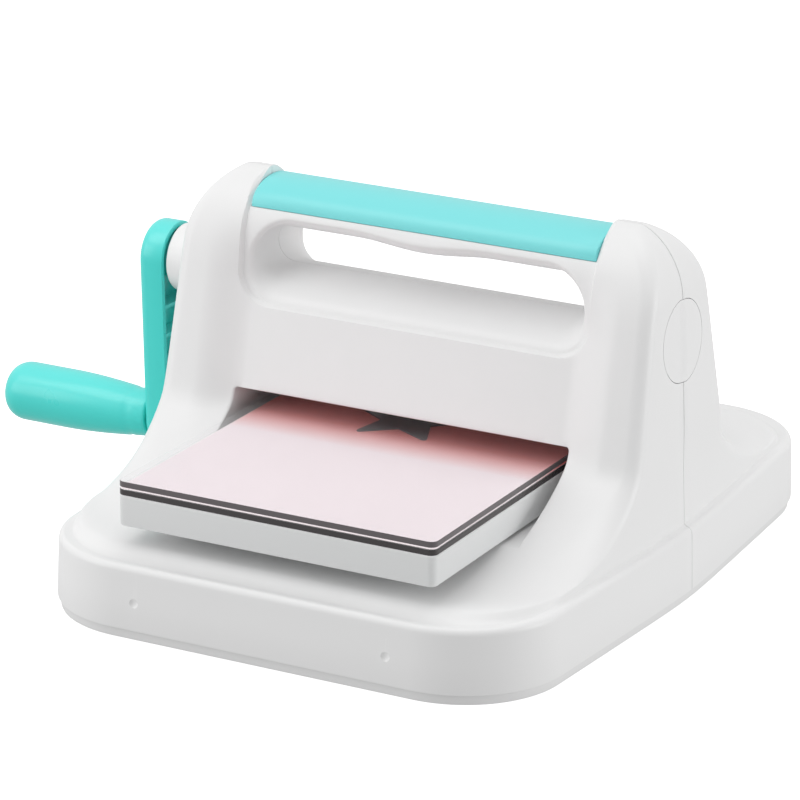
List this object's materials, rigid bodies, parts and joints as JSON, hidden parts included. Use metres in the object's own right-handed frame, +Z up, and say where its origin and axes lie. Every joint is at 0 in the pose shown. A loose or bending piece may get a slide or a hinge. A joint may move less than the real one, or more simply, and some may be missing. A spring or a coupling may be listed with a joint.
{
  "type": "die cutting machine",
  "caption": "Hand-cranked die cutting machine: geared rollers pull a platform, cutting pads, card and die through a wide feed channel.",
  "frame": {"origin": "on the resting plane, below the middle of the rollers", "axes": "+X to the right, away from the crank; -Y to the front, where the stack is fed in; +Z up"},
  "size_m": [0.3605, 0.332, 0.1725],
  "materials": {
    "white_plastic": "satin moulded plastic",
    "base_plastic": "satin moulded plastic, a little darker",
    "turquoise_plastic": "smooth satin plastic",
    "rubber": "matt",
    "steel": "ground",
    "plate_steel": "rolled and zinc plated",
    "gear_steel": "sintered, oiled",
    "brass": "sintered bronze",
    "clear_pad": "clear polycarbonate, polished",
    "card": "matt card",
    "die_metal": "dark satin"
  },
  "bodies": {
    "housing": {"front_shell": "white_plastic", "rear_shell": "white_plastic", "base_plate": "base_plastic", "foot_front_left": "rubber", "foot_front_right": "rubber", "foot_rear_left": "rubber", "foot_rear_right": "rubber", "handle_cover": "turquoise_plastic", "side_cap": "white_plastic", "crank_collar": "white_plastic", "left_side_plate": "plate_steel", "right_side_plate": "plate_steel", "lower_front_tie_rod": "steel", "lower_rear_tie_rod": "steel", "upper_front_tie_rod": "steel", "upper_rear_tie_rod": "steel", "lower_front_nut": "steel", "lower_rear_nut": "steel", "upper_front_nut": "steel", "upper_rear_nut": "steel", "upper_left_bush": "brass", "upper_right_bush": "brass", "lower_left_bush": "brass", "lower_right_bush": "brass", "crank_bush": "brass", "base_screw_front_left": "steel", "base_screw_front_right": "steel", "base_screw_rear_left": "steel", "base_screw_rear_right": "steel", "shell_screw_left": "steel", "shell_screw_right": "steel"},
    "crank": {"crank_shaft": "steel", "pinion_gear": "gear_steel", "crank_shaft_ring": "steel", "crank_arm": "turquoise_plastic", "arm_screw": "steel", "arm_screw_cap": "white_plastic", "grip_spindle": "steel"},
    "grip": {"crank_grip": "turquoise_plastic"},
    "upper_roller_set": {"upper_roller": "steel", "upper_drive_gear": "gear_steel", "upper_timing_gear": "gear_steel", "upper_left_ring": "steel", "upper_right_ring": "steel"},
    "lower_roller_set": {"lower_roller": "steel", "lower_timing_gear": "gear_steel", "lower_left_ring": "steel", "lower_right_ring": "steel"},
    "stack": {"platform": "white_plastic", "lower_cutting_pad": "clear_pad", "card_sheet": "card", "star_die": "die_metal", "upper_cutting_pad": "clear_pad"}
  },
  "joints": [
    {"name": "crank_turn", "type": "hinge", "parent": "housing", "child": "crank", "pos_m": [0, 0, 0.12225], "axis": [1, 0, 0], "range_deg": [-1310, 597]},
    {"name": "grip_spin", "type": "hinge", "parent": "crank", "child": "grip", "pos_m": [0, 0, 0.04175], "axis": [1, 0, 0], "continuous": true},
    {"name": "upper_roller_turn", "type": "hinge", "parent": "housing", "child": "upper_roller_set", "pos_m": [0, 0, 0.08475], "axis": [1, 0, 0], "range_deg": [-256, 562]},
    {"name": "lower_roller_turn", "type": "hinge", "parent": "housing", "child": "lower_roller_set", "pos_m": [0, 0, 0.03355], "axis": [1, 0, 0], "range_deg": [-562, 256]},
    {"name": "stack_feed", "type": "slide", "parent": "housing", "child": "stack", "axis": [0, 1, 0], "range_m": [-0.067, 0.147]}
  ],
  "couplings": [
    {"joint": "upper_roller_turn", "follows": "crank_turn", "ratio": -0.42857},
    {"joint": "lower_roller_turn", "follows": "crank_turn", "ratio": 0.42857},
    {"joint": "stack_feed", "follows": "crank_turn", "m_per_rad": -0.0064286}
  ]
}
